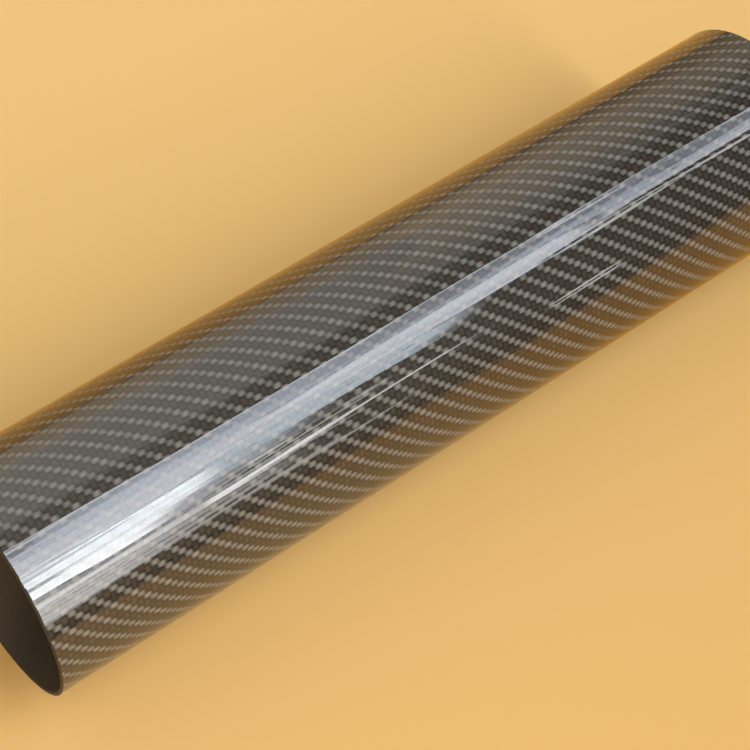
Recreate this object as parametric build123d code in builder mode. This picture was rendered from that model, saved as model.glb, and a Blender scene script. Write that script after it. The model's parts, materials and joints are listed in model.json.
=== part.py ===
"""Carbon fibre tube: woven laminate rolled on a round mandrel, coated, and cut square at both ends.

The tube lies along X with its lowest line on the ground, and the origin is on that line, halfway
along the tube. It is one piece, so it is one solid, turned about its axis from the section of its
wall. Every edge of the wall is eased, as a cut tube's edges are before it is handled.
"""

import os

from build123d import *

# Driving dimensions of the tube, in millimetres
MANDREL_DIAMETER = 83.0  # the bore takes the size of the mandrel that the cloth is rolled on
WALL = 1.5  # cured laminate and clear coat
LENGTH = 350.0
OUTER_EDGE_RADIUS = 0.4  # the coat and the outermost ply are rounded over
INNER_EDGE_CHAMFER = 0.25  # the bore's sharp edge is only broken

# Radii that follow from them
bore_radius = MANDREL_DIAMETER / 2
outer_radius = bore_radius + WALL

# The wall's section lies in the upright plane through the tube's axis: its local x runs along the
# tube and its local y points straight up, away from the axis
section_plane = Plane(origin=(0, 0, outer_radius), x_dir=(1, 0, 0), z_dir=(0, -1, 0))
tube_axis = Axis(origin=(0, 0, outer_radius), direction=(1, 0, 0))

with BuildPart() as tube:
    with BuildSketch(section_plane) as wall_section:
        with Locations((0, bore_radius)):
            Rectangle(LENGTH, WALL, align=(Align.CENTER, Align.MIN))
        outer_corners = wall_section.vertices().group_by(Axis.Z)[-1]
        fillet(outer_corners, radius=OUTER_EDGE_RADIUS)
        inner_corners = wall_section.vertices().group_by(Axis.Z)[0]
        chamfer(inner_corners, length=INNER_EDGE_CHAMFER)
    revolve(axis=tube_axis)

tube.part.label = "tube"

os.makedirs("parts", exist_ok=True)
export_step(tube.part, "parts/tube.step")

print(f"outer diameter {2 * outer_radius:.2f} mm, bore {2 * bore_radius:.2f} mm, length {LENGTH:.1f} mm")
print(f"laminate volume {tube.part.volume / 1000:.2f} cubic centimetres")
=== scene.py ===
# %% [markdown]
# A carbon fibre tube, rolled from twill cloth and finished in a gloss clear coat. It lies on a pale
# floor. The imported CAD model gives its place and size, and this lesson gives it its surface: the
# weave under the coat, the ripple that the coat leaves on it, the sawn ends and the bare bore.

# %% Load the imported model
import json
import math

import bmesh
import bpy
import numpy as np
from mathutils import Matrix, Vector


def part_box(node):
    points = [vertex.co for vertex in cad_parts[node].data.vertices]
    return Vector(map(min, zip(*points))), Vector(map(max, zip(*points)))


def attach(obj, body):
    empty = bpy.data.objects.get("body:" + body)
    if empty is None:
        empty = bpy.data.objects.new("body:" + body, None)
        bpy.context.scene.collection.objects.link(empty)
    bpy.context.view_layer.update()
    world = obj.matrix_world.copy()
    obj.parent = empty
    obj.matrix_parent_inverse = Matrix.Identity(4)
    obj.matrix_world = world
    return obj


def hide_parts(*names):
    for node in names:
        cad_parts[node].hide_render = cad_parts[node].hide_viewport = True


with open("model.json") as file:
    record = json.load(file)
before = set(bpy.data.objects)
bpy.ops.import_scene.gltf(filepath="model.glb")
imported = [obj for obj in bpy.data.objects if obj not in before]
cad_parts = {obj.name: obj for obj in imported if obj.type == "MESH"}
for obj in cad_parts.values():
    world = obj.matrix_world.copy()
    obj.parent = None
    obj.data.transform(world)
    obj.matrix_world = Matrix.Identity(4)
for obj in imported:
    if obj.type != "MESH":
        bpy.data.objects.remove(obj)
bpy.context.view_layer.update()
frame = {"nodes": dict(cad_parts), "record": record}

print("packed nodes:", sorted(frame["nodes"]))

# %% [markdown]
# Every size that the lesson needs comes from the frame. The tube lies along X, so its box gives its
# length. A box can't see into the bore, so both radii and the axis come from the tube's mounts.

# %% Sizes of the tube
MM = 0.001
tube_low, tube_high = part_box("tube")
mounts = {mount["name"]: mount for mount in frame["record"]["mounts"]}

near_x, far_x = tube_low.x, tube_high.x
length = far_x - near_x
axis_height = mounts["bore"]["pos_m"][2]
outer_radius = mounts["outside"]["dims"]["r_mm"] * MM
bore_radius = mounts["bore"]["dims"]["r_mm"] * MM
wall = outer_radius - bore_radius
print(f"length {length / MM:.1f} mm, outer radius {outer_radius / MM:.2f} mm, wall {wall / MM:.2f} mm")

# %% [markdown]
# The camera looks down on the tube from one side, from a little before its near end, and is held
# slightly askew. Its place is given in outer radii round the tube's axis, because those are what a
# picture of a round tube shows: how far it stands before the near end, how far from the axis, and at
# which angle above the floor. It aims at a point beside the axis and then rolls.

# %% Place the camera
CAMERA_BEFORE_NEAR_END = 3.194
CAMERA_FROM_AXIS = 16.264
CAMERA_ELEVATION = math.radians(65)
AIM_FROM_NEAR_END = 3.677
AIM_BELOW_AXIS = 0.155
CAMERA_ROLL = math.radians(9.2)
PHOTO_WIDTH = 750  # pixels
FOCAL_LENGTH = 2097  # pixels
SENSOR_WIDTH = 36.0  # millimetres

near_end = Vector((near_x, 0, axis_height))
along = Vector((1, 0, 0))
towards_camera = Vector((0, -math.cos(CAMERA_ELEVATION), math.sin(CAMERA_ELEVATION)))
down_the_side = Vector((0, -math.sin(CAMERA_ELEVATION), -math.cos(CAMERA_ELEVATION)))

camera_place = near_end + outer_radius * (
    CAMERA_FROM_AXIS * towards_camera - CAMERA_BEFORE_NEAR_END * along
)
aim = near_end + outer_radius * (AIM_FROM_NEAR_END * along + AIM_BELOW_AXIS * down_the_side)
aim_turn = (aim - camera_place).to_track_quat("-Z", "Y")
roll_turn = Matrix.Rotation(CAMERA_ROLL, 3, "Z").to_quaternion()

bpy.ops.object.select_all(action="DESELECT")
bpy.ops.object.camera_add(location=camera_place)
camera = bpy.context.object
camera.name = "camera"
camera.rotation_mode = "QUATERNION"
camera.rotation_quaternion = aim_turn @ roll_turn
camera.data.sensor_width = SENSOR_WIDTH
camera.data.lens = FOCAL_LENGTH / PHOTO_WIDTH * SENSOR_WIDTH
bpy.context.scene.camera = camera
print(f"lens {camera.data.lens:.1f} mm, camera {camera_place.z:.3f} m above the floor")

# %% [markdown]
# An operator acts on whatever is selected. By hand that is a click, and here one helper picks whole
# pieces, and another picks the points or lines of a piece by their place, which still holds when the
# tube gets another size.

# %% Helpers that select
NEAR_ENOUGH = 0.01 * MM


def select_only(*pieces):
    """In object mode, selects just these pieces, and makes the first one active."""
    bpy.ops.object.select_all(action="DESELECT")
    for piece in pieces:
        piece.select_set(True)
    bpy.context.view_layer.objects.active = pieces[0]


def select_where(piece, kind, wanted):
    """In edit mode, selects just the vertices or edges whose middle passes the test."""
    bpy.ops.mesh.select_all(action="DESELECT")
    bpy.ops.mesh.select_mode(type=kind)
    mesh = bmesh.from_edit_mesh(piece.data)
    if kind == "VERT":
        for vertex in mesh.verts:
            vertex.select = wanted(vertex.co)
    else:
        for edge in mesh.edges:
            edge.select = wanted((edge.verts[0].co + edge.verts[1].co) / 2)
    mesh.select_flush_mode()
    bmesh.update_edit_mesh(piece.data)


# %% [markdown]
# The wall's section is drawn first, as a flat strip with eased corners, and only its outline is
# kept. Its outer line is cut into short lengths, because the coat's ripple has to bend it. A
# cylinder primitive would be quicker, but it has neither the wall nor the eased edges.

# %% Draw the wall's section
OUTER_EDGE_RADIUS = 0.4 * MM
ROUNDING_STEPS = 4
INNER_EDGE_CHAMFER = 0.25 * MM
HAIR = 0.001 * MM  # comes off the length, so that rounding can't carry the mesh past the CAD box

outer_line = axis_height + outer_radius
inner_line = axis_height + bore_radius
half_length = length / 2
skin_end = half_length - OUTER_EDGE_RADIUS
section_middle = Vector((0, 0, (outer_line + inner_line) / 2))

bpy.ops.object.select_all(action="DESELECT")
bpy.ops.mesh.primitive_plane_add(size=1, location=section_middle, rotation=(math.pi / 2, 0, 0))
tube = bpy.context.object
tube.name = "rolled_tube"
bpy.ops.object.transform_apply(location=True, rotation=True, scale=True)

bpy.ops.object.mode_set(mode="EDIT")
bpy.ops.mesh.select_all(action="SELECT")
bpy.ops.transform.resize(value=(length - HAIR, 1, wall), center_override=section_middle)
select_where(tube, "VERT", lambda co: abs(co.z - outer_line) < NEAR_ENOUGH)
bpy.ops.mesh.bevel(offset=OUTER_EDGE_RADIUS, segments=ROUNDING_STEPS, affect="VERTICES")
select_where(tube, "VERT", lambda co: abs(co.z - inner_line) < NEAR_ENOUGH)
bpy.ops.mesh.bevel(offset=INNER_EDGE_CHAMFER, segments=1, affect="VERTICES")
bpy.ops.mesh.select_all(action="SELECT")
bpy.ops.mesh.delete(type="ONLY_FACE")
print("corners of the section:", len(bmesh.from_edit_mesh(tube.data).verts))

# %% Cut its long lines into short ones
SKIN_CUTS = 35
BORE_CUTS = 9
RIM_SUPPORT = 0.35 * MM  # a ring of points this far in from each rounding keeps the rim true

select_where(tube, "EDGE", lambda co: abs(co.z - outer_line) < NEAR_ENOUGH)
bpy.ops.mesh.subdivide(number_cuts=SKIN_CUTS)
for support_x in (RIM_SUPPORT - skin_end, skin_end - RIM_SUPPORT):
    select_where(tube, "EDGE", lambda co: abs(co.z - outer_line) < NEAR_ENOUGH)
    bpy.ops.mesh.bisect(plane_co=(support_x, 0, 0), plane_no=(1, 0, 0))
select_where(tube, "EDGE", lambda co: abs(co.z - inner_line) < NEAR_ENOUGH)
bpy.ops.mesh.subdivide(number_cuts=BORE_CUTS)
print("points in the section:", len(bmesh.from_edit_mesh(tube.data).verts))

# %% [markdown]
# The straight line across each end comes out, which leaves two open lines: the skin with its rounded
# corners, and the bore with its chamfers. They become two objects, so that a Screw modifier can turn
# the skin in many more steps than the plain bore. Joined again, their rims are bridged, and the
# bridges are the flat ends of the wall.

# %% Turn the skin and the bore
SKIN_STEPS = 1600
BORE_STEPS = 300

select_where(tube, "EDGE", lambda co: abs(abs(co.x) - half_length) < NEAR_ENOUGH)
bpy.ops.mesh.delete(type="EDGE_FACE")
select_where(tube, "VERT", lambda co: co.z < inner_line + wall / 2)
bpy.ops.mesh.separate(type="SELECTED")
bpy.ops.object.mode_set(mode="OBJECT")
bore = next(piece for piece in bpy.context.selected_objects if piece != tube)

bpy.ops.object.empty_add(location=(0, 0, axis_height))
axis_mark = bpy.context.object
for piece, steps in ((tube, SKIN_STEPS), (bore, BORE_STEPS)):
    select_only(piece)
    turn = piece.modifiers.new("turn round the axis", "SCREW")
    turn.object = axis_mark
    turn.axis = "X"
    turn.angle = 2 * math.pi
    turn.steps = turn.render_steps = steps
    turn.use_merge_vertices = True
    turn.merge_threshold = NEAR_ENOUGH
    bpy.ops.object.modifier_apply(modifier=turn.name)
bpy.data.objects.remove(axis_mark)
print("faces of the skin and the bore:", len(tube.data.polygons), len(bore.data.polygons))

# %% Join them and bridge the ends
select_only(tube, bore)
bpy.ops.object.join()

bpy.ops.object.mode_set(mode="EDIT")
for end_x in (-half_length, half_length):
    select_where(tube, "VERT", lambda co: abs(co.x - end_x) < NEAR_ENOUGH)
    bpy.ops.mesh.bridge_edge_loops()
bpy.ops.mesh.select_all(action="SELECT")
bpy.ops.mesh.normals_make_consistent(inside=False)
open_edges = [edge for edge in bmesh.from_edit_mesh(tube.data).edges if not edge.is_manifold]
bpy.ops.object.mode_set(mode="OBJECT")
print("faces:", len(tube.data.polygons), "open edges:", len(open_edges))

# %% [markdown]
# A rolled tube is cured under a tight wrap of tape and then coated, and what is left is a ripple of
# about a tenth of a millimetre that runs almost straight along it. It breaks the edges of a
# reflection into long streaks. It is true geometry here, because the coat is what mirrors the lamps,
# and a bump under the coat can't bend it. Displace modifiers read a clouds texture through an empty
# that is stretched along the tube, and they only ever sink the skin.

# %% Mark the points of the skin
SKIN_GROUP = "skin"


def distance_from_axis(point):
    """How far a point lies from the tube's axis."""
    return math.hypot(point.y, point.z - axis_height)


skin_group = tube.vertex_groups.new(name=SKIN_GROUP)
for vertex in tube.data.vertices:
    if distance_from_axis(vertex.co) > outer_radius - NEAR_ENOUGH:
        skin_group.add([vertex.index], 1.0, "REPLACE")
skin_points = [vertex.index for vertex in tube.data.vertices if vertex.groups]
print("points on the skin:", len(skin_points))


# %% Ripple the coat
def ripple(name, width, run, depth):
    """Sinks the skin by up to depth, in waves of that width that each run that far along the tube."""
    clouds = bpy.data.textures.new(name, "CLOUDS")
    clouds.noise_scale = 1.0
    clouds.noise_depth = 0
    bpy.ops.object.empty_add(location=(0, 0, 0))
    guide = bpy.context.object
    guide.scale = (run, width, width)
    bpy.context.view_layer.update()
    push = tube.modifiers.new(name, "DISPLACE")
    push.vertex_group = SKIN_GROUP
    push.strength = depth
    push.mid_level = 1.0
    push.texture = clouds
    push.texture_coords = "OBJECT"
    push.texture_coords_object = guide
    select_only(tube)
    bpy.ops.object.modifier_apply(modifier=push.name)
    bpy.data.objects.remove(guide)


ripple("broad ripple", width=9.0 * MM, run=130 * MM, depth=0.160 * MM)
ripple("middle ripple", width=2.6 * MM, run=60 * MM, depth=0.050 * MM)
ripple("fine ripple", width=1.1 * MM, run=40 * MM, depth=0.022 * MM)

sunk = [outer_radius - distance_from_axis(tube.data.vertices[index].co) for index in skin_points]
print(f"the skin sinks by {min(sunk) / MM:.3f} to {max(sunk) / MM:.3f} mm")

# %% [markdown]
# The weave follows the surface, so it is drawn on a UV map whose unit is one tow: U counts the hoop
# tows along the tube, and V counts the lengthwise tows round it. A whole number of four-tow repeats
# goes round, so the pattern closes. Every corner of every face has its own place on the map, so the
# corners and the middles of their faces are read first.

# %% Read the corners of the faces
mesh = tube.data
corner_vertex = np.empty(len(mesh.loops), dtype=np.int32)
mesh.loops.foreach_get("vertex_index", corner_vertex)
places = np.empty(len(mesh.vertices) * 3)
mesh.vertices.foreach_get("co", places)
corners = places.reshape(-1, 3)[corner_vertex]
face_sizes = np.empty(len(mesh.polygons), dtype=np.int32)
mesh.polygons.foreach_get("loop_total", face_sizes)
face_middles = np.empty(len(mesh.polygons) * 3)
mesh.polygons.foreach_get("center", face_middles)
face_middles = np.repeat(face_middles.reshape(-1, 3), face_sizes, axis=0)
print("corners of faces:", len(corners))

# %% Measure the cloth on them
HOOP_TOW_PITCH = 2.0 * MM
REPEATS_ROUND = 34
TOWS_IN_A_REPEAT = 4
tows_round = REPEATS_ROUND * TOWS_IN_A_REPEAT
print(f"lengthwise tows are {2 * math.pi * outer_radius / tows_round / MM:.3f} mm apart")


def turn_round_axis(points):
    """The angle of each point round the axis: 0 on top, and positive down the camera's side."""
    return np.arctan2(-points[:, 1], points[:, 2] - axis_height)


# Where the angle jumps back by a whole turn, the corners of a face stay beside its middle
corner_turn = turn_round_axis(corners)
middle_turn = turn_round_axis(face_middles)
corner_turn += 2 * math.pi * np.round((middle_turn - corner_turn) / (2 * math.pi))
share_round = corner_turn / (2 * math.pi)
share_along = (corners[:, 0] - near_x) / length


def add_uv_map(name, u, v):
    """Gives the tube a UV map from one value of U and V at each corner of its faces."""
    layer = mesh.uv_layers.new(name=name)
    layer.uv.foreach_set("vector", np.column_stack((u, v)).astype(np.float32).ravel())


add_uv_map("weave", (corners[:, 0] - near_x) / HOOP_TOW_PITCH, share_round * tows_round)

# %% [markdown]
# A second map lays every surface out flat without overlaps, for whoever bakes the finish to a
# picture: the skin and the bore as two wide strips, and the ends of the wall as two narrow ones.

# %% Lay the surfaces out for baking
SKIN_STRIP = (0.005, 0.755)
BORE_STRIP = (0.765, 0.955)
NEAR_END_STRIP = (0.962, 0.978)
FAR_END_STRIP = (0.982, 0.998)

corner_radius = np.hypot(corners[:, 1], corners[:, 2] - axis_height)
middle_radius = np.hypot(face_middles[:, 1], face_middles[:, 2] - axis_height)
share_of_wall = (corner_radius - bore_radius) / wall
on_skin = middle_radius > outer_radius - OUTER_EDGE_RADIUS
on_bore = middle_radius < bore_radius + NEAR_ENOUGH
at_near_end = face_middles[:, 0] < 0


def in_strip(strip, share):
    """A share from 0 to 1, laid into a strip of the picture."""
    return strip[0] + (strip[1] - strip[0]) * share


share_from_below = share_round + 0.5
bake_u = np.where(on_skin | on_bore, share_along, share_from_below)
bake_v = np.select(
    [on_skin, on_bore, at_near_end],
    [
        in_strip(SKIN_STRIP, share_from_below),
        in_strip(BORE_STRIP, share_from_below),
        in_strip(NEAR_END_STRIP, share_of_wall),
    ],
    in_strip(FAR_END_STRIP, share_of_wall),
)
add_uv_map("OFBake", bake_u, bake_v)
mesh.uv_layers.active = mesh.uv_layers["weave"]

# %% [markdown]
# Small helpers keep the node trees readable. One adds a node and links its inputs, and others do a
# sum, a mix or a smooth ramp, on sockets or on plain numbers.

# %% Helpers for nodes
def srgb(red, green, blue):
    """A colour as a picture holds it, from 0 to 255, turned into the linear one that nodes use."""
    shares = [part / 255 for part in (red, green, blue)]
    linear = [s / 12.92 if s <= 0.04045 else ((s + 0.055) / 1.055) ** 2.4 for s in shares]
    return (*linear, 1.0)


def add_node(tree, kind, settings=None, **inputs):
    """Adds a node. Its inputs are given by name, with underscores for spaces, as values or sockets."""
    node = tree.nodes.new(kind)
    for name, value in (settings or {}).items():
        setattr(node, name, value)
    for name, value in inputs.items():
        feed(tree, node.inputs[name.replace("_", " ")], value)
    return node


def feed(tree, socket, value):
    """Links a socket to an input, or sets the input's value."""
    if isinstance(value, bpy.types.NodeSocket):
        tree.links.new(value, socket)
    else:
        socket.default_value = value


# %% Helpers for sums and mixes
VALUE_MIX_SOCKETS = (0, 2, 3)  # where a Mix node keeps its factor, its first and its second value
COLOUR_MIX_SOCKETS = (0, 6, 7)
VALUE_MIX_RESULT = 0
COLOUR_MIX_RESULT = 2


def calc(tree, operation, *values):
    """One step of arithmetic on sockets or numbers."""
    node = add_node(tree, "ShaderNodeMath", {"operation": operation})
    for socket, value in zip(node.inputs, values):
        feed(tree, socket, value)
    return node.outputs["Value"]


def mix_values(tree, factor, first, second):
    """Runs from the first value to the second as the factor runs from 0 to 1."""
    node = add_node(tree, "ShaderNodeMix", {"data_type": "FLOAT"})
    for number, value in zip(VALUE_MIX_SOCKETS, (factor, first, second)):
        feed(tree, node.inputs[number], value)
    return node.outputs[VALUE_MIX_RESULT]


def mix_colours(tree, factor, first, second):
    """Runs from the first colour to the second as the factor runs from 0 to 1."""
    node = add_node(tree, "ShaderNodeMix", {"data_type": "RGBA"})
    for number, value in zip(COLOUR_MIX_SOCKETS, (factor, first, second)):
        feed(tree, node.inputs[number], value)
    return node.outputs[COLOUR_MIX_RESULT]


def ramp(tree, value, start, end):
    """Runs smoothly from 0 at start to 1 at end. The end may be the lower of the two."""
    smooth = {"interpolation_type": "SMOOTHSTEP"}
    node = add_node(tree, "ShaderNodeMapRange", smooth, Value=value, From_Min=start, From_Max=end)
    return node.outputs["Result"]


# %% [markdown]
# A material is a tree of its own with one Principled shader at its end. What two materials share is
# a group, whose named inputs and outputs are made through its interface.

# %% Helpers for groups and materials
def new_group(name, inputs, outputs):
    """Makes an empty node group with these sockets, and returns it with its two end nodes."""
    group = bpy.data.node_groups.new(name, "ShaderNodeTree")
    for in_out, sockets in (("INPUT", inputs), ("OUTPUT", outputs)):
        for socket_name, kind in sockets.items():
            group.interface.new_socket(name=socket_name, in_out=in_out, socket_type=kind)
    start = group.nodes.new("NodeGroupInput")
    end = group.nodes.new("NodeGroupOutput")
    return group, start, end


def new_material(name):
    """Makes an empty material, and returns it with its tree and its Principled shader."""
    material = bpy.data.materials.new(name)
    material.use_nodes = True
    tree = material.node_tree
    tree.nodes.clear()
    shader = tree.nodes.new("ShaderNodeBsdfPrincipled")
    output = tree.nodes.new("ShaderNodeOutputMaterial")
    tree.links.new(shader.outputs["BSDF"], output.inputs["Surface"])
    return material, tree, shader


# %% [markdown]
# In a two by two twill each tow passes over two of its neighbours and under the next two, and each
# row starts one tow further on, which draws the diagonal. A tow's height is a cosine wave along it,
# one wave for four tows, plus a crown across it, and the cloth's surface is whichever of the two
# crossing tows is higher. The group works this out once, for the skin and for the bore.

# %% The twill group and its counts of tows
WANDER_SCALE = 60.0  # per metre

twill, twill_in, twill_out = new_group(
    "Twill weave",
    {
        "Tows": "NodeSocketVector",
        "Place": "NodeSocketVector",
        "Wander": "NodeSocketFloat",
    },
    {
        "Height": "NodeSocketFloat",
        "Lengthwise": "NodeSocketFloat",
        # painted sheen: the light that the tows mirror, put out as a mask for the colour
        "Painted sheen": "NodeSocketFloat",
        "Fibres": "NodeSocketFloat",
        "Tow shade": "NodeSocketFloat",
    },
)
wander_noise = add_node(
    twill,
    "ShaderNodeTexNoise",
    Vector=twill_in.outputs["Place"],
    Scale=WANDER_SCALE,
    Detail=1.0,
)
wander_parts = add_node(twill, "ShaderNodeSeparateColor", Color=wander_noise.outputs["Color"])
tow_parts = add_node(twill, "ShaderNodeSeparateXYZ", Vector=twill_in.outputs["Tows"])


def wandering(tow_value, noise_value):
    """Moves a tow count sideways by a little noise, as cloth shifts when it is rolled."""
    centred = calc(twill, "SUBTRACT", noise_value, 0.5)
    return calc(twill, "MULTIPLY_ADD", centred, twill_in.outputs["Wander"], tow_value)


across_hoops = wandering(tow_parts.outputs["X"], wander_parts.outputs["Red"])
across_lengths = wandering(tow_parts.outputs["Y"], wander_parts.outputs["Green"])
hoop_number = calc(twill, "FLOOR", across_hoops)
length_number = calc(twill, "FLOOR", across_lengths)
print("twill group:", len(twill.nodes), "nodes that count tows")

# %% [markdown]
# A float is the stretch where a tow lies on top. The cloth's height drives the bump, and the colour
# needs a mask as well, a painted sheen on the crest: part of it lights the whole float, slightly
# darker at its flanks where shade is painted, and part is a small painted glint on top of it, which
# leans a little from one flank to the other.

# %% The surface of one tow
TURN_PER_TOW = 2 * math.pi / TOWS_IN_A_REPEAT
HALF_REPEAT = TOWS_IN_A_REPEAT / 2
LENGTHWISE_CREST = 1.0  # where a tow is highest, in crossing tows on from its own number
HOOP_CREST = -2.0
LIFT_SHARE = 0.5  # of the height: the wave along a tow
CROWN_SHARE = 0.5  # of the height: the crown across it
CROWN_POWER = 2.5  # a higher power makes a tow flatter, with steeper flanks
# The glint is a painted highlight, the lightness of the whole float is a painted sheen, and its darker
# flanks are painted shade.
GLINT_LEAN = 0.2  # in tows, from a tow's middle to its flank
GLINT_RISE = (0.5, 1.0)  # of the wave: where a glint starts and where it is full
BODY_RISE = (-0.1, 0.9)  # of the wave: where the whole float starts and where it is full
BODY_SHARE = 0.56  # of the crest: the rest is its glint
FLANK_SHARE = 0.7  # how light the float is at its flanks, where 1 is its middle


def tow_surface(along_tow, crest_place, across_tow):
    """The height of a tow, and its painted sheen: from 0 at a float's sunken rim to 1 on top of it."""
    beyond_crest = calc(twill, "SUBTRACT", along_tow, crest_place)
    from_crest = calc(twill, "WRAP", beyond_crest, HALF_REPEAT, -HALF_REPEAT)
    from_middle = calc(twill, "MULTIPLY_ADD", calc(twill, "FRACT", across_tow), 2.0, -1.0)
    sideways = calc(twill, "ABSOLUTE", from_middle)
    lift = calc(twill, "COSINE", calc(twill, "MULTIPLY", from_crest, TURN_PER_TOW))
    crown = calc(twill, "SUBTRACT", 1.0, calc(twill, "POWER", sideways, CROWN_POWER))
    crown_height = calc(twill, "MULTIPLY", crown, CROWN_SHARE)
    height = calc(twill, "MULTIPLY_ADD", lift, LIFT_SHARE, crown_height)
    leaning = calc(twill, "MULTIPLY_ADD", from_middle, GLINT_LEAN, from_crest)
    leaning_lift = calc(twill, "COSINE", calc(twill, "MULTIPLY", leaning, TURN_PER_TOW))
    from_edge = calc(twill, "SUBTRACT", 1.0, calc(twill, "POWER", sideways, 2.0))
    glint = calc(twill, "MULTIPLY", ramp(twill, leaning_lift, *GLINT_RISE), from_edge)
    # painted shade: the float's sheen is painted darker towards its flanks
    rounded = mix_values(twill, from_edge, FLANK_SHARE, 1.0)
    body = calc(twill, "MULTIPLY", ramp(twill, lift, *BODY_RISE), rounded)
    return height, mix_values(twill, BODY_SHARE, glint, body)


length_height, length_sheen = tow_surface(
    across_hoops, calc(twill, "ADD", length_number, LENGTHWISE_CREST), across_lengths
)
hoop_height, hoop_sheen = tow_surface(
    across_lengths, calc(twill, "ADD", hoop_number, HOOP_CREST), across_hoops
)
is_lengthwise = calc(twill, "GREATER_THAN", length_height, hoop_height)
print("twill group:", len(twill.nodes), "nodes with the surface of the tows")

# %% [markdown]
# Close to, a tow shows the streaks of its fibres, and no two tows are quite as dark as each other. A
# noise that is squeezed across the tow gives the streaks, and white noise on a tow's number gives it
# one shade for its whole length.

# %% Fibres and shades
STREAKS_ACROSS = 14.0  # per tow
STREAKS_ALONG = 0.6  # per tow crossed
OTHER_SHADES = 500.5  # keeps a lengthwise tow's shade apart from that of the hoop tow of its number


def fibres_of(across_tow, along_tow):
    """Fine streaks that run along a tow."""
    streak_place = add_node(
        twill,
        "ShaderNodeCombineXYZ",
        X=calc(twill, "MULTIPLY", across_tow, STREAKS_ACROSS),
        Y=calc(twill, "MULTIPLY", along_tow, STREAKS_ALONG),
    )
    noise = add_node(
        twill,
        "ShaderNodeTexNoise",
        {"noise_dimensions": "2D"},
        Vector=streak_place.outputs["Vector"],
        Scale=1.0,
        Detail=2.0,
    )
    return noise.outputs["Fac"]


def shade_of(number):
    """A shade of its own for each tow."""
    noise = add_node(twill, "ShaderNodeTexWhiteNoise", {"noise_dimensions": "1D"}, W=number)
    return noise.outputs["Value"]


hoop_fibres = fibres_of(across_hoops, across_lengths)
length_fibres = fibres_of(across_lengths, across_hoops)
hoop_shade = shade_of(hoop_number)
length_shade = shade_of(calc(twill, "ADD", length_number, OTHER_SHADES))
print("twill group:", len(twill.nodes), "nodes with fibres and shades")

# %% What the group puts out
group_results = {
    "Height": calc(twill, "MAXIMUM", length_height, hoop_height),
    "Lengthwise": is_lengthwise,
    # the painted sheen of whichever tow lies on top
    "Painted sheen": mix_values(twill, is_lengthwise, hoop_sheen, length_sheen),
    "Fibres": mix_values(twill, is_lengthwise, hoop_fibres, length_fibres),
    "Tow shade": mix_values(twill, is_lengthwise, hoop_shade, length_shade),
}
for result_name, result in group_results.items():
    feed(twill, twill_out.inputs[result_name], result)
print("twill group:", len(twill.nodes), "nodes in all")

# %% [markdown]
# On the real tube, black fibres lie in clear resin under a thick gloss coat. A fibre mirrors light
# only across its own run, so from this side the lengthwise tows show as rows of pale dots and the
# hoop tows stay dark. An anisotropic shader could do that, but an exported mesh loses it, so that
# sheen is painted into the colour: each kind of tow gets a colour of its own, and the lengthwise
# tows get a painted sheen that is lightest on their crests. The coat is the shader's own coat layer:
# it ignores the weave's bump and mirrors the room from the rippled skin. It weighs less over the
# painted dots, which leaves a trace of them inside the highlight.

# %% The colour of the coated skin
SKIN_WANDER = 0.12  # in tows
# The hoop and lengthwise colours are painted sheen laid over the dark gap colour, the lengthwise one
# much lighter.
GAP_COLOUR = (0.016, 0.0145, 0.012, 1)
HOOP_COLOUR = (0.048, 0.042, 0.034, 1)
LENGTHWISE_SHEEN_COLOUR = (0.188, 0.184, 0.172, 1)
FIBRE_CONTRAST = (0.25, 0.75)
FIBRE_SHADES = (0.8, 1.15)
TOW_SHADES = (0.85, 1.15)


def lay_cloth(tree, wander):
    """Places the twill group in a material, on the map that counts the tows."""
    tow_map = add_node(tree, "ShaderNodeUVMap", {"uv_map": "weave"})
    place = add_node(tree, "ShaderNodeTexCoord")
    group_inputs = {"Tows": tow_map.outputs["UV"], "Place": place.outputs["Object"], "Wander": wander}
    return add_node(tree, "ShaderNodeGroup", {"node_tree": twill}, **group_inputs)


skin_finish, tree, shader = new_material("coated twill")
cloth = lay_cloth(tree, SKIN_WANDER)
# the painted sheen mask, and which kind of tow lies on top
painted_sheen, lengthwise = cloth.outputs["Painted sheen"], cloth.outputs["Lengthwise"]
# painted sheen: dark in the gaps, lighter on the crests, lightest on the lengthwise crests
sheen_colour = mix_colours(tree, lengthwise, HOOP_COLOUR, LENGTHWISE_SHEEN_COLOUR)
sheen_weave_colour = mix_colours(tree, painted_sheen, GAP_COLOUR, sheen_colour)
fibre_streaks = ramp(tree, cloth.outputs["Fibres"], *FIBRE_CONTRAST)
fibre_shade = mix_values(tree, fibre_streaks, *FIBRE_SHADES)
tow_shade = mix_values(tree, cloth.outputs["Tow shade"], *TOW_SHADES)
shaded = calc(tree, "MULTIPLY", fibre_shade, tow_shade)
base_colour = add_node(
    tree, "ShaderNodeVectorMath", {"operation": "SCALE"}, Vector=sheen_weave_colour, Scale=shaded
)
feed(tree, shader.inputs["Base Color"], base_colour.outputs["Vector"])
print("coated twill:", len(tree.nodes), "nodes that colour it")

# %% Its relief and its coat
HOOP_ROUGHNESS = 0.6
LENGTHWISE_ROUGHNESS = 0.5
WEAVE_DEPTH = 0.12 * MM
COAT_OVER_SHEEN_DOTS = 0.68
COAT_ROUGHNESS = 0.04
COAT_IOR = 1.8  # a lacquer has about 1.5, and a higher one mirrors more when seen from straight on

roughness = mix_values(tree, lengthwise, HOOP_ROUGHNESS, LENGTHWISE_ROUGHNESS)
feed(tree, shader.inputs["Roughness"], roughness)
weave_bump = add_node(
    tree, "ShaderNodeBump", Strength=1.0, Distance=WEAVE_DEPTH, Height=cloth.outputs["Height"]
)
feed(tree, shader.inputs["Normal"], weave_bump.outputs["Normal"])
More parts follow.
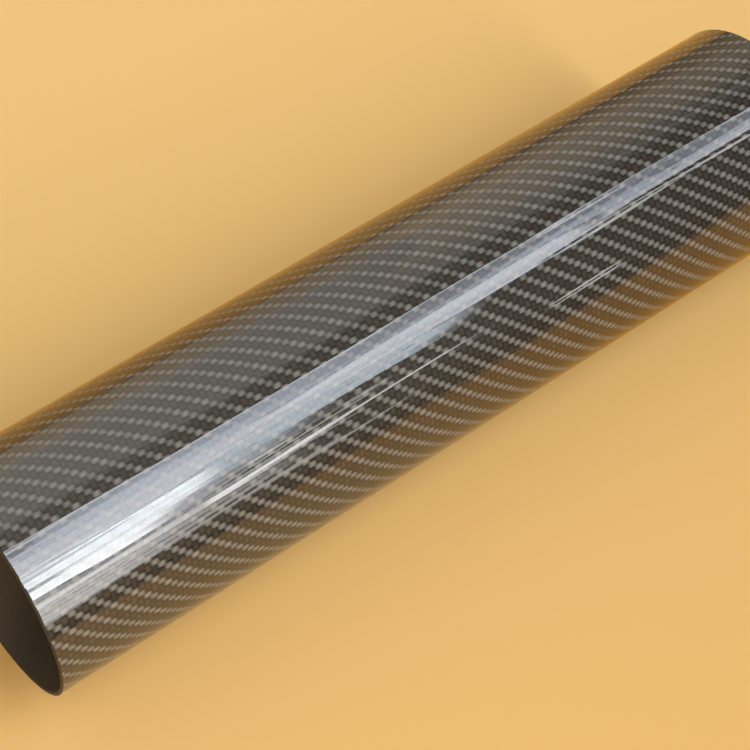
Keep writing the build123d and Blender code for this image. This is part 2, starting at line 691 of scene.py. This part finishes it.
# the painted dots: where the lengthwise tows carry their painted sheen
sheen_dots = calc(tree, "MULTIPLY", painted_sheen, lengthwise)
feed(tree, shader.inputs["Coat Weight"], mix_values(tree, sheen_dots, 1.0, COAT_OVER_SHEEN_DOTS))
feed(tree, shader.inputs["Coat Roughness"], COAT_ROUGHNESS)
feed(tree, shader.inputs["Coat IOR"], COAT_IOR)
feed(tree, shader.inputs["Specular IOR Level"], 0.0)
print("coated twill:", len(tree.nodes), "nodes in all")

# %% [markdown]
# Sawing lays the plies bare, and the cut is matt, black and slightly ragged. The plies are drawn as
# rings from the distance to the axis, with a dark line of resin between two plies and a fine noise
# that makes it ragged. Modelling every ply would spend faces on lines that are a fraction of a
# millimetre wide.

# %% The sawn ends
PLIES = 6
CUT_RAGGEDNESS = 0.6  # of a ply
RESIN_FADE = (0.05, 0.3)  # in plies from a line's middle: where it begins to fade and where it is gone
GRIT_SCALE = 2500.0  # per metre
RESIN_COLOUR = (0.006, 0.006, 0.005, 1)
DARK_CUT = (0.014, 0.013, 0.012, 1)
PALE_CUT = (0.044, 0.041, 0.037, 1)
CUT_ROUGHNESS = 0.55

end_finish, tree, shader = new_material("sawn laminate")
place = add_node(tree, "ShaderNodeTexCoord")
grit = add_node(
    tree, "ShaderNodeTexNoise", Vector=place.outputs["Object"], Scale=GRIT_SCALE, Detail=2.0
)
place_parts = add_node(tree, "ShaderNodeSeparateXYZ", Vector=place.outputs["Object"])
up = calc(tree, "SUBTRACT", place_parts.outputs["Z"], axis_height)
up_squared = calc(tree, "POWER", up, 2.0)
aside_squared = calc(tree, "POWER", place_parts.outputs["Y"], 2.0)
radius = calc(tree, "SQRT", calc(tree, "ADD", up_squared, aside_squared))
plies_deep = calc(tree, "DIVIDE", calc(tree, "SUBTRACT", radius, bore_radius), wall / PLIES)
ragged_plies = calc(tree, "MULTIPLY_ADD", grit.outputs["Fac"], CUT_RAGGEDNESS, plies_deep)
ply = ramp(tree, calc(tree, "PINGPONG", ragged_plies, 0.5), *RESIN_FADE)
cut_ply = mix_colours(tree, grit.outputs["Fac"], DARK_CUT, PALE_CUT)
end_colour = mix_colours(tree, ply, RESIN_COLOUR, cut_ply)
feed(tree, shader.inputs["Base Color"], end_colour)
feed(tree, shader.inputs["Roughness"], CUT_ROUGHNESS)
print("sawn laminate:", PLIES, "plies of", round(wall / PLIES / MM, 3), "mm")

# %% [markdown]
# The bore took its face from the mandrel. It is bare, matt and brownish, and the weave hardly shows in
# it. The same twill group draws it, at a low contrast and with no coat, as a faint painted sheen on
# the crests.

# %% The bare bore
BORE_WANDER = 0.2  # in tows
# The tow colour is a faint painted sheen on the crests, over the gap colour.
BORE_GAP = (0.088, 0.068, 0.048, 1)
BORE_TOW_SHEEN = (0.106, 0.082, 0.058, 1)
BORE_ROUGHNESS = 0.5

bore_finish, tree, shader = new_material("bare bore")
cloth = lay_cloth(tree, BORE_WANDER)
bore_colour = mix_colours(tree, cloth.outputs["Painted sheen"], BORE_GAP, BORE_TOW_SHEEN)
feed(tree, shader.inputs["Base Color"], bore_colour)
feed(tree, shader.inputs["Roughness"], BORE_ROUGHNESS)
print("bare bore:", len(tree.nodes), "nodes")

# %% [markdown]
# The coat was sprayed before the tube was cut, so it ends where the outer edge begins to round over,
# and the rounding, the end face and the bore's small chamfer are all sawn laminate. The faces were
# sorted by place for the bake map, and the same sorting gives them their finish.

# %% Put the finishes on the faces
COATED, SAWN, BARE = 0, 1, 2  # the order of the finishes in the tube's slots
SMOOTH_UP_TO = math.radians(40)

for finish in (skin_finish, end_finish, bore_finish):
    mesh.materials.append(finish)
coated = on_skin & (np.abs(face_middles[:, 0]) < skin_end)
finish_at_corner = np.where(coated, COATED, np.where(on_bore, BARE, SAWN))
first_corners = np.cumsum(np.concatenate(([0], face_sizes[:-1])))
face_finish = finish_at_corner[first_corners].astype(np.int32)
mesh.polygons.foreach_set("material_index", face_finish)
select_only(tube)
bpy.ops.object.shade_smooth_by_angle(angle=SMOOTH_UP_TO)

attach(tube, "root")
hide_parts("tube")
print("faces coated, sawn and bare:", np.bincount(face_finish).tolist())

# %% [markdown]
# The tube lies on plain paper of a warm yellow, and mirrors it low on both of its sides. One flat
# colour would do for the floor alone, but light and shade are painted into the paper's colour: it is
# painted slightly lighter behind the tube, darker before it, and falls off in painted shade further
# out, so its colour is worked out from its own place.

# %% The floor
FLOOR_WIDTH = 12
# painted shade before the tube, painted light behind it, and painted shade far out
PAPER_SHADED_BEFORE = srgb(222, 178, 109)
PAPER_LIT_BEHIND = srgb(250, 208, 135)
PAPER_SHADED_FURTHER_OUT = srgb(170, 124, 70)
BEFORE_TO_BEHIND = (-0.25, 0.3)  # metres along Y
LIGHTEST_PLACE = (near_x - 0.05, 0.05, 0.0)
FALL_OFF = (0.1, 2.2)  # metres from there

bpy.ops.object.select_all(action="DESELECT")
bpy.ops.mesh.primitive_plane_add(size=FLOOR_WIDTH, location=(0, 0, 0))
floor = bpy.context.object
floor.name = "floor"
floor_finish, tree, shader = new_material("pale floor")
place = add_node(tree, "ShaderNodeTexCoord")
place_parts = add_node(tree, "ShaderNodeSeparateXYZ", Vector=place.outputs["Object"])
floor_x, floor_y = place_parts.outputs["X"], place_parts.outputs["Y"]
from_lightest = add_node(
    tree, "ShaderNodeVectorMath", {"operation": "DISTANCE"}, Vector=place.outputs["Object"]
)
feed(tree, from_lightest.inputs[1], LIGHTEST_PLACE)
paper = mix_colours(tree, ramp(tree, floor_y, *BEFORE_TO_BEHIND), PAPER_SHADED_BEFORE, PAPER_LIT_BEHIND)
# painted shade: the light falls off away from the lightest place
painted_falloff = ramp(tree, from_lightest.outputs["Value"], *FALL_OFF)
painted_floor_colour = mix_colours(tree, painted_falloff, paper, PAPER_SHADED_FURTHER_OUT)
print("floor:", floor.dimensions.x, "m wide")

# %% [markdown]
# The real coat shows the paper deeper and more orange than the paper itself looks: behind the tube
# all along it, and on the camera's side mostly towards the far end. That is a painted reflection, and
# far out on the camera's side a painted shade makes it go dark, which makes the paper's edge soft in
# the coat. Darker paint would show on the floor too, so Light Path picks this colour for glossy rays
# alone.

# %% The paper as the coat shows it
# A painted reflection: these colours show only in the coat, not on the floor itself.
MIRRORED_BEFORE = srgb(236, 165, 50)
MIRRORED_BEHIND = srgb(255, 187, 82)
MIRRORED_SHADE_FAR_OUT = srgb(92, 66, 38)
UNDER_THE_TUBE = (0.0, 0.08)  # metres along Y
TOWARDS_FAR_END = (-0.05, 0.12)  # metres along X
OUT_BEFORE_THE_TUBE = (-0.18, -1.0)  # metres along Y
WARMTH = (0.1, 0.9)  # of the mirrored colour: the least and the most
PAPER_ROUGHNESS = 0.9
PAPER_GLOSS = 0.2

behind_tube = ramp(tree, floor_y, *UNDER_THE_TUBE)
warm_places = calc(tree, "MAXIMUM", behind_tube, ramp(tree, floor_x, *TOWARDS_FAR_END))
warmth = mix_values(tree, warm_places, *WARMTH)
warm_colour = mix_colours(tree, behind_tube, MIRRORED_BEFORE, MIRRORED_BEHIND)
warm_paper = mix_colours(tree, warmth, painted_floor_colour, warm_colour)
# painted shade: the mirrored paper goes dark far out before the tube
far_out = ramp(tree, floor_y, *OUT_BEFORE_THE_TUBE)
mirrored_paper = mix_colours(tree, far_out, warm_paper, MIRRORED_SHADE_FAR_OUT)
ray = add_node(tree, "ShaderNodeLightPath")
seen_colour = mix_colours(tree, ray.outputs["Is Glossy Ray"], painted_floor_colour, mirrored_paper)
feed(tree, shader.inputs["Base Color"], seen_colour)
feed(tree, shader.inputs["Roughness"], PAPER_ROUGHNESS)
feed(tree, shader.inputs["Specular IOR Level"], PAPER_GLOSS)
floor.data.materials.append(floor_finish)
print("floor:", len(tree.nodes), "nodes")

# %% [markdown]
# A dim room surrounds the set, brightest beyond the near end, almost dark beyond the far end, and
# warmer towards the horizon. The coat mirrors it wherever no lamp stands. A plain grey world would
# mirror as flat grey bands, so the colour runs along X and away from the horizon.

# %% The world
NEAR_SKY = (0.58, 0.54, 0.47, 1)
FAR_SKY = (0.09, 0.07, 0.05, 1)
NEAR_HORIZON = (0.52, 0.38, 0.22, 1)
FAR_HORIZON = (0.05, 0.03, 0.015, 1)
NEAR_TO_FAR = (0.05, 0.65)  # of a unit direction, along X
HORIZON_TO_SKY = (0.0, 0.5)  # of a unit direction, along Z

world = bpy.data.worlds.new("studio")
bpy.context.scene.world = world
world.use_nodes = True
tree = world.node_tree
tree.nodes.clear()
direction = add_node(tree, "ShaderNodeTexCoord")
direction_parts = add_node(tree, "ShaderNodeSeparateXYZ", Vector=direction.outputs["Generated"])
far_share = ramp(tree, direction_parts.outputs["X"], *NEAR_TO_FAR)
high_colour = mix_colours(tree, far_share, NEAR_SKY, FAR_SKY)
low_colour = mix_colours(tree, far_share, NEAR_HORIZON, FAR_HORIZON)
rise = ramp(tree, calc(tree, "ABSOLUTE", direction_parts.outputs["Z"]), *HORIZON_TO_SKY)
sky_colour = mix_colours(tree, rise, low_colour, high_colour)
sky = add_node(tree, "ShaderNodeBackground", Color=sky_colour, Strength=1.0)
world_output = tree.nodes.new("ShaderNodeOutputWorld")
feed(tree, world_output.inputs["Surface"], sky.outputs["Background"])
print("world:", len(tree.nodes), "nodes")

# %% [markdown]
# The coat mirrors one tall window as a long streaked band with a white core. A round tube mirrors
# each height in the room as a line of its own, so the window is made of flat lamps that stand one
# above another round the tube's axis. The light of each is thinned by a noise that runs along it, as
# a curtain's folds do. One big lamp would give a plain even band, and a picture of a window would
# leave the scene with an image to carry.

# %% Light through a curtain
STREAKS_PER_METRE = 16.0  # across a lamp
BREAKS_PER_METRE = 1.5  # along it
OWN_STREAKS = 10  # noise units per metre of a lamp's height, so that each lamp has streaks of its own
STREAK_CONTRAST = 4
RAGGED_END = 1.5  # how far the streaks carry the fade along, in fades


def light_through_cloth(lamp, begin, fade, soft, streaks, slant):
    """Fades a lamp in over the share begin and out towards its far end, softens its sides, and lays
    streaks along it."""
    lamp.data.use_nodes = True
    tree = lamp.data.node_tree
    tree.nodes.clear()
    pane = add_node(tree, "ShaderNodeNewGeometry")
    pane_parts = add_node(tree, "ShaderNodeSeparateXYZ", Vector=pane.outputs["Parametric"])
    along_lamp, across_lamp = pane_parts.outputs["X"], pane_parts.outputs["Y"]
    streak_place = add_node(
        tree,
        "ShaderNodeCombineXYZ",
        X=calc(tree, "MULTIPLY", along_lamp, BREAKS_PER_METRE * lamp.data.size),
        Y=calc(tree, "MULTIPLY", across_lamp, STREAKS_PER_METRE * lamp.data.size_y),
        Z=lamp.location.z * OWN_STREAKS,
    )
    noise = add_node(
        tree, "ShaderNodeTexNoise", Vector=streak_place.outputs["Vector"], Scale=1.0, Detail=2.0
    )
    streaky = calc(tree, "SUBTRACT", noise.outputs["Fac"], 0.5)
    down_lamp = calc(tree, "SUBTRACT", 1.0, across_lamp)
    slanted = calc(tree, "MULTIPLY_ADD", down_lamp, slant, along_lamp)
    ragged = calc(tree, "MULTIPLY_ADD", streaky, RAGGED_END * fade, slanted)
    faded = calc(tree, "SUBTRACT", 1.0, ramp(tree, ragged, 1.0 - fade, 1.0))
    begun = calc(tree, "MULTIPLY", faded, ramp(tree, along_lamp, 0.0, begin))
    from_side = calc(tree, "PINGPONG", across_lamp, 0.5)
    shaped = calc(tree, "MULTIPLY", begun, ramp(tree, from_side, 0.0, soft))
    streaked = calc(tree, "MULTIPLY_ADD", streaky, STREAK_CONTRAST * streaks, 1.0)
    strength = calc(tree, "MULTIPLY", shaped, streaked)
    glow = add_node(tree, "ShaderNodeEmission", Strength=calc(tree, "MAXIMUM", strength, 0.0))
    lamp_output = tree.nodes.new("ShaderNodeOutputLight")
    feed(tree, lamp_output.inputs["Surface"], glow.outputs["Emission"])


# %% [markdown]
# A lamp is given by two angles round the tube's axis and by a stretch of places along it, because
# both can be worked out from where the band lies in a picture. Its power follows from its size, so a
# lamp of a given radiance looks equally bright in the coat whatever its size.

# %% A lamp that faces the tube
LAMP_DISTANCE = 2.4
SHARP = 0.01  # a share so small that an edge looks sharp
SHOWN_FROM = 0.26  # metres along X: from the camera, the coat shows no part of a lamp before this


def softbox(
    name,
    angles,
    stretch,
    radiance,
    tint,
    fade=0.25,
    soft=0.04,
    streaks=0.25,
    slant=0.0,
    distance=LAMP_DISTANCE,
):
    """A flat lamp that faces the tube's axis from a distance. It spans two angles above the camera's
    side of the floor, in degrees, and a stretch of places along the tube's axis. Its near end fades
    in where the coat doesn't show it to the camera. Its far end fades over a share of its length and
    its sides over a share of its width, and streaks run along it, as they do down a curtain. A slant
    makes its low side fade sooner than its high side."""
    low, high = (math.radians(angle) for angle in angles)
    left, right = stretch
    half_angle = (high - low) / 2
    outwards = Vector((0, -math.cos(low + half_angle), math.sin(low + half_angle)))
    sideways = outwards.cross(along)
    axis_point = Vector(((left + right) / 2, 0, axis_height))
    middle = axis_point + distance * math.cos(half_angle) * outwards
    bpy.ops.object.light_add(type="AREA", location=middle)
    lamp = bpy.context.object
    lamp.name = name
    lamp.data.shape = "RECTANGLE"
    lamp.data.size = right - left
    lamp.data.size_y = 2 * distance * math.sin(half_angle)
    lamp.data.color = tint
    lamp.data.energy = radiance * math.pi * lamp.data.size * lamp.data.size_y
    lamp.rotation_mode = "QUATERNION"
    lamp.rotation_quaternion = Matrix((along, sideways, outwards)).transposed().to_quaternion()
    lamp.visible_camera = False
    begin = (SHOWN_FROM - left) / (right - left) if left < SHOWN_FROM < right else SHARP
    light_through_cloth(lamp, begin, fade, soft, streaks, slant)
    print(f"{name}: {lamp.data.size:.2f} by {lamp.data.size_y:.2f} m")


# %% [markdown]
# The window's panes come first, from its top edge down. The upper ones run the whole length of the
# tube, and each lower one stops sooner, so the band narrows towards the far end in steps.

# %% The panes of the window
bpy.ops.object.select_all(action="DESELECT")
LILAC = (0.93, 1.05, 1.28)
COOL = (0.92, 0.98, 1.09)
BLUE = (0.83, 0.97, 1.10)
PLAIN = (0.98, 0.99, 1.0)
softbox("top line", (81.6, 83.8), (0.10, 2.05), 5.2, COOL, fade=0.1, soft=0.2)
softbox("lilac pane", (74.5, 81.8), (0.10, 2.05), 1.5, LILAC, fade=0.1)
softbox("near lilac pane", (74.5, 82.2), (0.36, 1.15), 1.4, LILAC, fade=0.5)
softbox("grey pane", (68, 74.7), (0.10, 2.05), 3.0, LILAC, fade=0.1)
softbox("near grey pane", (68, 75.5), (0.10, 1.05), 1.6, COOL, fade=0.6)
softbox("main pane", (54.5, 68), (0.10, 1.47), 5.4, COOL, fade=0.07)
softbox("far pane", (60.4, 68), (1.45, 2.05), 3.9, COOL, fade=0.1)
softbox("far line", (54.6, 57.4), (1.42, 1.95), 4.0, PLAIN, fade=0.2, soft=0.2)
softbox("blue pane", (50.5, 54.5), (0.10, 1.20), 5.0, BLUE, fade=0.12)
softbox("lower blue pane", (46.2, 50.5), (0.10, 1.17), 4.7, BLUE, fade=0.2)
softbox("middle pane", (42, 46), (0.10, 0.90), 4.0, BLUE, fade=0.3)
softbox("low pane", (35.6, 42), (0.10, 0.84), 3.8, COOL, fade=0.35)

# %% [markdown]
# The white core is the part of the window with the sun on its curtain. Its lamps add to the panes
# that they share a place with. All but its shoulder end slantwise, and so do the dim washes under it.

# %% The core and the washes
softbox("core shoulder", (51, 57.5), (0.10, 0.58), 2.4, PLAIN, fade=0.5, soft=0.1)
softbox("upper core", (45.5, 52.0), (0.10, 0.70), 6.4, PLAIN, fade=0.13, soft=0.1, slant=0.08)
softbox("middle core", (42, 45.8), (0.38, 0.66), 6.6, PLAIN, fade=0.15, soft=0.1, slant=0.1)
softbox("lower core", (35.6, 42.3), (0.10, 0.64), 6.4, PLAIN, fade=0.15, soft=0.1, slant=0.15)
softbox("upper wash", (18, 32.4), (0.10, 0.76), 3.2, PLAIN, fade=0.4, slant=0.2)
softbox("lower wash", (6, 18), (0.10, 0.68), 2.8, PLAIN, fade=0.4, slant=0.3)

# %% [markdown]
# Below the core the band breaks up into thin pale lines, such as a blind's slats give. Two of them
# stand alone: a long one past the core's tip, and a short one near the far end.

# %% The slats
SLATS = (
    ((40.4, 41.9), (0.70, 0.98), 3.0),
    ((36.6, 38.4), (0.70, 0.96), 3.2),
    ((32.4, 34.6), (0.10, 0.90), 3.0),
    ((26.4, 31.6), (0.10, 0.92), 3.6),
    ((20.8, 25.2), (0.10, 0.84), 2.0),
    ((15.6, 19.4), (0.10, 0.86), 2.5),
    ((10.2, 14.2), (0.10, 1.06), 2.6),
    ((27.4, 30.4), (0.62, 1.19), 5.2),
    ((13.4, 15.8), (1.29, 1.45), 4.6),
)
for number, (angles, stretch, radiance) in enumerate(SLATS, start=1):
    softbox(f"slat {number}", angles, stretch, radiance, PLAIN, fade=0.2, soft=0.1, streaks=0.15)

# %% [markdown]
# Behind the tube stand broad dim softboxes, warmer the lower and the further they are, which the
# shaded side mirrors as a soft glow. The last lamp stands close and low, mostly before the near end.
# It fills the side towards the camera, from a place that the coat doesn't mirror to it.

# %% The lamps behind the tube and the near fill
CREAM = (1.0, 0.93, 0.83)
AMBER = (1.0, 0.72, 0.44)
ORANGE = (1.0, 0.62, 0.22)
STRAW = (1.0, 0.80, 0.55)
softbox("back softbox", (95, 162), (0.0, 2.4), 0.68, CREAM, fade=0.7, soft=0.17, streaks=0.1)
softbox("low back softbox", (150, 184), (0.0, 2.4), 0.70, AMBER, fade=0.7, soft=0.35, streaks=0.1)
softbox("far back softbox", (112, 180), (0.95, 2.6), 0.36, ORANGE, fade=0.3, soft=0.35, streaks=0.1)
softbox("near fill", (1, 26), (-0.75, -0.10), 7.5, STRAW, soft=0.2, streaks=0.0, distance=0.6)

# %% [markdown]
# The picture is seen through the plain Standard view, so a colour comes out as it is written.

# %% Finish
bpy.context.scene.view_settings.view_transform = "Standard"
